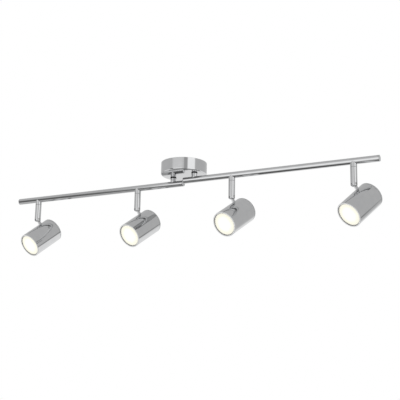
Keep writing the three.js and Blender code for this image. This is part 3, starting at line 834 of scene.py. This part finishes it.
def arm_shapes(place):
    """The collar, arm, arm bolt and hinge screw, measured on the first arm."""
    bar_place = Matrix.Translation(JOINTS["bar_left_swivel"]["pos_m"])
    _, bar_high = span("bar_tube_left", bar_place)
    low, high = span("arm_collar_1", place)
    radius = high.x
    collar = turned(ring_outline(BOLT_HOLE, radius, low.z, 0, SMALL_EDGE), TUBE, ring=True)
    cut(collar, saddle(bar_high.z))

    low, high = span("arm_1", place)
    hinge = Vector(place.inverted() @ Vector(JOINTS["head_1_tilt"]["pos_m"])) / MM
    foot_top = low.z + ARM_FOOT
    arm = turned(
        [
            (ARM_WIRE_BORE, low.z),
            *arc(radius - ARM_EDGE, low.z + ARM_EDGE, ARM_EDGE, -90, 0, 10),
            *arc(radius - SMALL_EDGE, high.z - SMALL_EDGE, SMALL_EDGE, 0, 90, 5),
            (BOLT_HOLE, high.z),
            (BOLT_HOLE, high.z - ARM_SHOULDER),
            (radius - ARM_WALL, high.z - ARM_SHOULDER),
            (radius - ARM_WALL, foot_top),
            (ARM_WIRE_BORE, foot_top),
        ],
        TUBE,
        ring=True,
    )
    half = LUG_THICKNESS / 2 + GAP
    reach = radius + OVERRUN
    below = low.z - OVERRUN
    # the pocket is round about the hinge, and open below and behind for the lug's swing
    pocket_round = lug_eye("1") + 2 * GAP
    rear_top = LUG_WIDTH / 2 + 2 * GAP
    meeting = 180 - math.degrees(math.asin(rear_top / pocket_round))
    pocket = plate(
        [
            (-reach, below),
            (reach, below),
            (reach, hinge.z),
            *arc(0, hinge.z, pocket_round, 0, meeting, 40),
            (-reach, hinge.z + rear_top),
        ],
        2 * half,
    )
    drill = moved(along_y(rod(HINGE_HOLE, -reach, reach)), z=hinge.z)
    screw_low, screw_high = span("hinge_screw_1", place)
    seat = screw_high.y + GAP - SCREW_HEAD_HEIGHT
    head_radius = screw_high.x
    spot_face = moved(along_y(rod(head_radius + GAP, seat - GAP, reach)), z=hinge.z)
    cut(arm, pocket, drill, spot_face)

    shank = HINGE_HOLE - GAP
    screw = turned(
        [
            (0, screw_low.y),
            (shank - SMALL_EDGE, screw_low.y),
            (shank, screw_low.y + SMALL_EDGE),
            (shank, seat),
            (head_radius, seat),
            *arc(head_radius - TURNED_EDGE, screw_high.y - TURNED_EDGE, TURNED_EDGE, 0, 90, 5),
            (0, screw_high.y),
        ],
        SMALL,
    )
    cut(screw, rod(SOCKET_RADIUS, seat, screw_high.y + OVERRUN, HEXAGON))
    moved(along_y(screw), z=hinge.z)

    bolt_low, bolt_high = span("arm_bolt_1", place)
    bolt = hollow_bolt(bolt_low.z, bolt_high.z, bolt_low.z, bolt_high.x)
    return {"arm_collar_": collar, "arm_": arm, "hinge_screw_": screw, "arm_bolt_": bolt}


def tongue_outline(root, hinge, eye):
    """The lug's outline: straight sides that flare smoothly into a round eye at the hinge."""
    half = LUG_WIDTH / 2
    across = half + LUG_FLARE
    down = math.sqrt((eye + LUG_FLARE) ** 2 - across**2)
    meeting = math.degrees(math.atan2(down, across))
    right = [(half, root), *arc(across, hinge - down, LUG_FLARE, 180, 180 - meeting, 6)]
    left = [(-x, z) for x, z in reversed(right)]
    crown = arc(0, hinge, eye, -meeting, 180 + meeting, 40)
    return [*right, *crown[1:-1], *left]


def head_shapes(place):
    """The can, rear cap, hinge lug, lamp, lens and lampholder, measured on the first head."""
    hinge = (place.inverted() @ Vector(JOINTS["head_1_tilt"]["pos_m"])).z / MM
    low, high = span("head_can_1", place)
    radius = (high.y - low.y) / 2
    seam, front = low.x, high.x
    inside = radius - HEAD_WALL
    _, lamp_high = span("lamp_body_1", place)
    opening = lamp_high.y + GAP
    can = turned(
        [
            (inside, seam),
            *arc(radius - SEAM_EDGE, seam + SEAM_EDGE, SEAM_EDGE, -90, 0, 4),
            *arc(radius - HEAD_RIM, front - HEAD_RIM, HEAD_RIM, 0, 90, 6),
            *arc(opening + SMALL_EDGE, front - SMALL_EDGE, SMALL_EDGE, 90, 180, 5),
            (opening, front - HEAD_LIP),
            (inside, front - HEAD_LIP),
        ],
        FINE * 2,
        ring=True,
    )
    slot_half = LUG_THICKNESS / 2 + GAP
    slot_reach = LUG_WIDTH / 2 + GAP
    slot = block((-slot_reach, -slot_half, 0), (slot_reach, slot_half, radius + OVERRUN))
    cut(along_x(can), slot)

    low, high = span("head_rear_cap_1", place)
    rear, cap_seam, spigot_end = low.x, low.x + REAR_CAP_SIDE, high.x
    spigot_out = inside - GAP
    spigot_in = spigot_out - HEAD_WALL
    cap = along_x(
        turned(
            [
                (0, rear),
                *arc(radius - REAR_CAP_EDGE, rear + REAR_CAP_EDGE, REAR_CAP_EDGE, -90, 0, 12),
                *arc(radius - SEAM_EDGE, cap_seam - SEAM_EDGE, SEAM_EDGE, 0, 90, 4),
                (spigot_out, cap_seam),
                *arc(spigot_out - SMALL_EDGE, spigot_end - SMALL_EDGE, SMALL_EDGE, 0, 90, 4),
                (spigot_in, spigot_end),
                (spigot_in, rear + HEAD_WALL),
                (0, rear + HEAD_WALL),
            ],
            FINE * 2,
        )
    )

    _, high = span("hinge_lug_1", place)
    foot_out = inside - GAP
    foot_in = foot_out - LUG_FOOT_THICKNESS
    half_length, half_width = high.x, high.y
    root = foot_in + LUG_FOOT_THICKNESS / 2
    tongue = plate(tongue_outline(root, hinge, high.z - hinge), LUG_THICKNESS, PRESSED_EDGE)
    foot_ring = ring_outline(foot_in, foot_out, -half_length, half_length, SMALL_EDGE)
    reach = half_length + OVERRUN
    foot = block((-reach, -half_width, 0), (reach, half_width, radius))
    combined(foot, "INTERSECT", [along_x(turned(foot_ring, FINE * 2, ring=True))])
    lug = joined(tongue, foot)
    cut(lug, moved(along_y(rod(HINGE_HOLE, -LUG_THICKNESS, LUG_THICKNESS)), z=hinge))

    low, high = span("lamp_body_1", place)
    lens_face, back = high.x, low.x + PIN_LENGTH
    lamp_radius = high.y
    rim_in = lamp_radius - LAMP_RIM
    neck = lens_face - LAMP_NECK
    shoulder = lens_face - LAMP_BARREL
    lamp = turned(
        [
            (0, back),
            *arc(LAMP_BASE_RADIUS - WIDE_EDGE, back + WIDE_EDGE, WIDE_EDGE, -90, 0, 5),
            (LAMP_BASE_RADIUS, neck - LAMP_BASE_STEP),
            (LAMP_NECK_RADIUS, neck),
            (lamp_radius - LAMP_SHOULDER_SLOPE / 2, shoulder - LAMP_SHOULDER_SLOPE),
            (lamp_radius, shoulder),
            *arc(lamp_radius - MOULDED_EDGE, lens_face - MOULDED_EDGE, MOULDED_EDGE, 0, 90, 6),
            (rim_in, lens_face),
            (rim_in, shoulder),
            (0, shoulder),
        ],
        FINE,
    )
    pins = []
    for y in (-PIN_OFFSET, PIN_OFFSET):
        pins.append(moved(rod(PIN_RADIUS, low.x, back + OVERRUN, SMALL, TURNED_EDGE), y=y))
    along_x(joined(lamp, *pins))

    low, high = span("lamp_lens_1", place)
    lens = turned(
        [
            (0, low.x),
            (high.y, low.x),
            *arc(high.y - MOULDED_EDGE, high.x - MOULDED_EDGE, MOULDED_EDGE, 0, 90, 6),
            (0, high.x),
        ],
        FINE,
    )
    along_x(lens)

    low, high = span("lamp_holder_1", place)
    holder = rod((high.y - low.y) / 2, low.x, high.x, TUBE, CERAMIC_EDGE)
    sockets = []
    for y in (-PIN_OFFSET, PIN_OFFSET):
        socket = rod(PIN_RADIUS + GAP, high.x - PIN_LENGTH - GAP, high.x + OVERRUN)
        sockets.append(moved(socket, y=y))
    along_x(cut(holder, *sockets))
    shapes = {
        "head_can_": can,
        "head_rear_cap_": cap,
        "lamp_body_": lamp,
        "lamp_lens_": lens,
        "lamp_holder_": holder,
    }
    return shapes, {"hinge_lug_": lug}


def arms_and_heads():
    """Four alike arms and heads, each at its own place."""
    arm_parts = arm_shapes(arm_place("1"))
    round_parts, lug_parts = head_shapes(can_place("1"))
    for side in ("left", "right"):
        for name in arms_of(side):
            arm = arm_place(name)
            bar = Matrix.Translation(arm.translation)
            head = can_place(name)
            for prefix, shape in arm_parts.items():
                on_bar = prefix in ("arm_collar_", "arm_bolt_")
                finished(prefix + name, shape, bar if on_bar else arm, round_about=2)
            for prefix, shape in round_parts.items():
                finished(prefix + name, shape, head, round_about=0)
            for prefix, shape in lug_parts.items():
                finished(prefix + name, shape, head)
    discard(*arm_parts.values(), *round_parts.values(), *lug_parts.values())


# ---------------------------------------------------------------- studio

ROOM_LEVEL = 0.61  # light from all round
# each panel: azimuth from +Y towards +X, half its width, lowest and highest elevation, width of
# its soft edge, all in degrees, and its light level
PANELS = [
    (0, 180, -90, -60, 8, 0.1),
    (-6, 31, -56, -10, 14, 0.8),
    (-12, 25, -20, 12, 14, 0.95),
    (30, 38, -40, -11, 5, 1.03),
    (56, 18, -11, -7, 3, 0.3),
    (180, 30, -44, 42, 16, 0.77),
    (-172, 25, -30, 14, 12, 1.25),
    (116, 19, -52, 29, 8, 1.25),
    (145, 8, -60, 30, 6, 0.46),
    (-97, 22, -50, -18, 10, 1.1),
    (-142, 8, -62, 12, 8, 0.16),
]


def floor():
    """A pale matt floor, a room's height below the ceiling."""
    bm = bmesh.new()
    bmesh.ops.create_grid(bm, x_segments=8, y_segments=8, size=FLOOR_REACH)
    plane = as_object(bm)
    plane.name = "floor"
    plane.location = (0, 0, -FLOOR_DROP)
    plane.visible_glossy = False
    material, tree, shader = new_material("floor", (0.8, 0.8, 0.79), 0.8)
    grain = noise(tree, place_of(tree), scale=6, detail=6)
    floor_tint = tinted(tree, grain, (0.76, 0.76, 0.75), (0.82, 0.82, 0.81))
    tree.links.new(floor_tint, shader.inputs["Base Color"])
    plane.data.materials.append(material)


def floor_light():
    """Soft light on the floor from above, which the polished pieces don't mirror."""
    data = bpy.data.lights.new("floor_light", "AREA")
    data.shape = "DISK"
    data.size = FLOOR_LIGHT_SIZE
    data.energy = FLOOR_LIGHT_POWER
    lamp = bpy.data.objects.new("floor_light", data)
    lamp.location = (0, 0, FLOOR_LIGHT_HEIGHT)
    lamp.visible_glossy = False
    lamp.visible_camera = False
    bpy.context.scene.collection.objects.link(lamp)


def arithmetic(tree, operation, *values):
    """A maths node's result; each value is a number or a socket."""
    node = tree.nodes.new("ShaderNodeMath")
    node.operation = operation
    for socket, value in zip(node.inputs, values):
        if isinstance(value, bpy.types.NodeSocket):
            tree.links.new(value, socket)
        else:
            socket.default_value = value
    return node.outputs["Value"]


def smooth_step(tree, value, start, end):
    """0 below the start, 1 above the end and smooth between them."""
    step = tree.nodes.new("ShaderNodeMapRange")
    step.interpolation_type = "SMOOTHSTEP"
    step.inputs["From Min"].default_value = start
    step.inputs["From Max"].default_value = end
    tree.links.new(value, step.inputs["Value"])
    return step.outputs["Result"]


def panelled(tree, level, direction, height, panel):
    """The light level round the object, with one soft-edged panel or flag laid over it."""
    azimuth, half_width, low, high, soft, strength = panel
    toward = tree.nodes.new("ShaderNodeVectorMath")
    toward.operation = "DOT_PRODUCT"
    turn = math.radians(azimuth)
    toward.inputs[1].default_value = (math.sin(turn), math.cos(turn), 0)
    tree.links.new(direction, toward.inputs[0])
    across = toward.outputs["Value"]
    if half_width < 180:
        outer = math.cos(math.radians(min(half_width + soft / 2, 180)))
        inner = math.cos(math.radians(max(half_width - soft / 2, 0)))
        mask = smooth_step(tree, across, outer, inner)
    else:
        mask = 1.0
    for edge, rising in ((low, True), (high, False)):
        if abs(edge) >= 90:
            continue
        near = math.sin(math.radians(max(edge - soft / 2, -90)))
        far = math.sin(math.radians(min(edge + soft / 2, 90)))
        step = smooth_step(tree, height, near, far)
        if not rising:
            step = arithmetic(tree, "SUBTRACT", 1.0, step)
        mask = arithmetic(tree, "MULTIPLY", mask, step)
    kept = arithmetic(tree, "SUBTRACT", 1.0, mask)
    around = arithmetic(tree, "MULTIPLY", level, kept)
    within = arithmetic(tree, "MULTIPLY", mask, strength)
    return arithmetic(tree, "ADD", around, within)


def studio():
    """A white studio: plain white behind the object, and soft panels and flags all round it."""
    world = bpy.data.worlds.new("studio")
    bpy.context.scene.world = world
    world.use_nodes = True
    tree = world.node_tree
    coordinates = tree.nodes.new("ShaderNodeTexCoord")
    split = tree.nodes.new("ShaderNodeSeparateXYZ")
    tree.links.new(coordinates.outputs["Generated"], split.inputs["Vector"])
    flat = tree.nodes.new("ShaderNodeVectorMath")
    flat.operation = "MULTIPLY"
    flat.inputs[1].default_value = (1, 1, 0)
    tree.links.new(coordinates.outputs["Generated"], flat.inputs[0])
    level_direction = tree.nodes.new("ShaderNodeVectorMath")
    level_direction.operation = "NORMALIZE"
    tree.links.new(flat.outputs["Vector"], level_direction.inputs[0])
    level = ROOM_LEVEL
    for panel in PANELS:
        level = panelled(tree, level, level_direction.outputs["Vector"], split.outputs["Z"], panel)
    room = tree.nodes["Background"]
    tree.links.new(level, room.inputs["Color"])
    backdrop = tree.nodes.new("ShaderNodeBackground")
    backdrop.inputs["Color"].default_value = (1, 1, 1, 1)
    path = tree.nodes.new("ShaderNodeLightPath")
    seen = tree.nodes.new("ShaderNodeMixShader")
    tree.links.new(path.outputs["Is Camera Ray"], seen.inputs["Fac"])
    tree.links.new(room.outputs["Background"], seen.inputs[1])
    tree.links.new(backdrop.outputs["Background"], seen.inputs[2])
    tree.links.new(seen.outputs["Shader"], tree.nodes["World Output"].inputs["Surface"])


# ---------------------------------------------------------------- assembly

bpy.context.scene.view_settings.view_transform = "Standard"
camera_at(
    place=(0.957052, -1.860305, -0.632504),
    azimuth=26.227,
    elevation=-14.751,
    roll=1.153,
    lens=89.71,
)

screw_low, screw_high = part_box("canopy_screw_right")
screw_middle = (screw_low + screw_high) / 2
strap_place = Matrix.Rotation(math.atan2(screw_middle.y, screw_middle.x), 4, "Z")
lens_low, lens_high = span("lamp_lens_1", head_place("1"))
MATERIALS = {
    "polished_chrome": chrome(),
    "zinc_steel": zinc(),
    "brass_screw": brass(),
    "black_nylon": black_nylon(),
    "white_plastic": white_plastic(),
    "white_ceramic": ceramic(),
    "frosted_lens": frosted_lens((lens_high.y - lens_low.y) / 2),
}

ceiling_cup(strap_place)
mounting_strap(strap_place)
side_screws(strap_place)
earth_screw(strap_place)
terminal_block(strap_place)
stem_washers()
for bar_side in ("left", "right"):
    bar_half(bar_side)
arms_and_heads()
floor()
floor_light()
studio()
